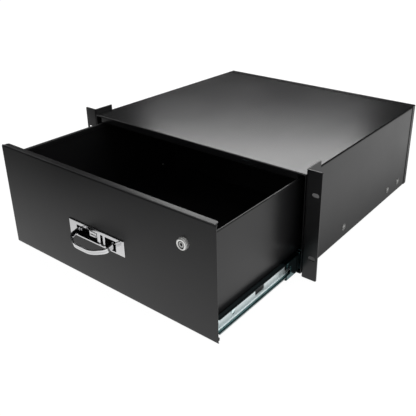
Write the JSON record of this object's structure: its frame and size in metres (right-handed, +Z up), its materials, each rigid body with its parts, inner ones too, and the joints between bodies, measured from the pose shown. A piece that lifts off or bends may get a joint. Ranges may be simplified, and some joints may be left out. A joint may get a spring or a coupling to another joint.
{
  "type": "sliding rack drawer",
  "caption": "Four-unit 19-inch rack drawer: sheet-steel casing with rack ears, drawer on ball-bearing slides, bail latch handle and key lock.",
  "frame": {"origin": "centre of the four ear slots, on the rear (mounting) face of the rack ears", "axes": "+Z up, +Y towards the rear of the rack, +X to the right when facing the drawer front; the drawer is stored pulled out by 177 mm"},
  "size_m": [0.4826, 0.6245, 0.1758],
  "materials": {
    "black_powder_coat": "satin black powder coat",
    "zinc_steel": "bright zinc plate",
    "bright_screw": "nickel plate",
    "chrome_handle": "polished chrome",
    "bright_brass": "satin nickel on brass",
    "bearing_steel": "polished hard steel",
    "spring_steel": "zinc plated spring wire",
    "black_rubber": "moulded"
  },
  "bodies": {
    "casing": {"casing_body": "black_powder_coat", "top_cover": "black_powder_coat", "rear_panel": "black_powder_coat", "left_ear": "black_powder_coat", "right_ear": "black_powder_coat", "ear_rivets": "black_powder_coat", "cover_screws": "black_powder_coat", "rear_screws": "bright_screw", "case_slide_screws": "bright_screw", "rail_bumpers": "black_rubber", "left_outer_rail": "zinc_steel", "right_outer_rail": "zinc_steel"},
    "drawer": {"drawer_tray": "black_powder_coat", "drawer_back": "black_powder_coat", "drawer_front": "black_powder_coat", "left_inner_rail": "zinc_steel", "right_inner_rail": "zinc_steel", "tray_slide_screws": "bright_screw", "front_screws": "bright_screw", "back_rivets": "black_powder_coat", "handle_plate": "chrome_handle", "handle_nuts": "zinc_steel", "handle_cup": "black_powder_coat", "guide_posts": "chrome_handle", "pivot_pins": "bright_screw", "bail_springs": "spring_steel", "latch_guides": "zinc_steel", "latch_spring": "spring_steel", "lock_barrel": "chrome_handle", "lock_nut": "zinc_steel"},
    "left_middle": {"left_middle_rail": "zinc_steel"},
    "right_middle": {"right_middle_rail": "zinc_steel"},
    "left_outer_ball_cage": {"left_outer_cage": "zinc_steel", "left_outer_balls": "bearing_steel"},
    "right_outer_ball_cage": {"right_outer_cage": "zinc_steel", "right_outer_balls": "bearing_steel"},
    "left_inner_ball_cage": {"left_inner_cage": "zinc_steel", "left_inner_balls": "bearing_steel"},
    "right_inner_ball_cage": {"right_inner_cage": "zinc_steel", "right_inner_balls": "bearing_steel"},
    "bail": {"bail_handle": "chrome_handle"},
    "latch": {"latch_bar": "zinc_steel", "latch_slider": "chrome_handle"},
    "lock_key_plug": {"lock_plug": "bright_brass", "lock_cam": "zinc_steel", "cam_screw": "bright_screw"}
  },
  "joints": [
    {"name": "drawer_slide", "type": "slide", "parent": "casing", "child": "drawer", "axis": [0, -1, 0], "range_m": [-0.177, 0.2]},
    {"name": "left_middle_rail_slide", "type": "slide", "parent": "casing", "child": "left_middle", "axis": [0, -1, 0], "range_m": [-0.0885, 0.1]},
    {"name": "left_outer_cage_roll", "type": "slide", "parent": "casing", "child": "left_outer_ball_cage", "axis": [0, -1, 0], "range_m": [-0.04425, 0.05]},
    {"name": "left_inner_cage_roll", "type": "slide", "parent": "casing", "child": "left_inner_ball_cage", "axis": [0, -1, 0], "range_m": [-0.13275, 0.15]},
    {"name": "right_middle_rail_slide", "type": "slide", "parent": "casing", "child": "right_middle", "axis": [0, -1, 0], "range_m": [-0.0885, 0.1]},
    {"name": "right_outer_cage_roll", "type": "slide", "parent": "casing", "child": "right_outer_ball_cage", "axis": [0, -1, 0], "range_m": [-0.04425, 0.05]},
    {"name": "right_inner_cage_roll", "type": "slide", "parent": "casing", "child": "right_inner_ball_cage", "axis": [0, -1, 0], "range_m": [-0.13275, 0.15]},
    {"name": "bail_hinge", "type": "hinge", "parent": "drawer", "child": "bail", "pos_m": [-0.0054, -0.1896, -0.008], "axis": [-1, 0, 0], "range_deg": [0, 40]},
    {"name": "latch_slide", "type": "slide", "parent": "drawer", "child": "latch", "axis": [0, 0, -1], "range_m": [0, 0.0035], "deforming": ["latch_spring"]},
    {"name": "lock_turn", "type": "hinge", "parent": "drawer", "child": "lock_key_plug", "pos_m": [0.159, -0.18, 0.0405], "axis": [0, 1, 0], "range_deg": [0, 90]}
  ],
  "couplings": [
    {"joint": "left_middle_rail_slide", "follows": "drawer_slide", "ratio": 0.5},
    {"joint": "left_outer_cage_roll", "follows": "drawer_slide", "ratio": 0.25},
    {"joint": "left_inner_cage_roll", "follows": "drawer_slide", "ratio": 0.75},
    {"joint": "right_middle_rail_slide", "follows": "drawer_slide", "ratio": 0.5},
    {"joint": "right_outer_cage_roll", "follows": "drawer_slide", "ratio": 0.25},
    {"joint": "right_inner_cage_roll", "follows": "drawer_slide", "ratio": 0.75},
    {"joint": "latch_slide", "follows": "bail_hinge", "m_per_rad": 0.005013}
  ]
}
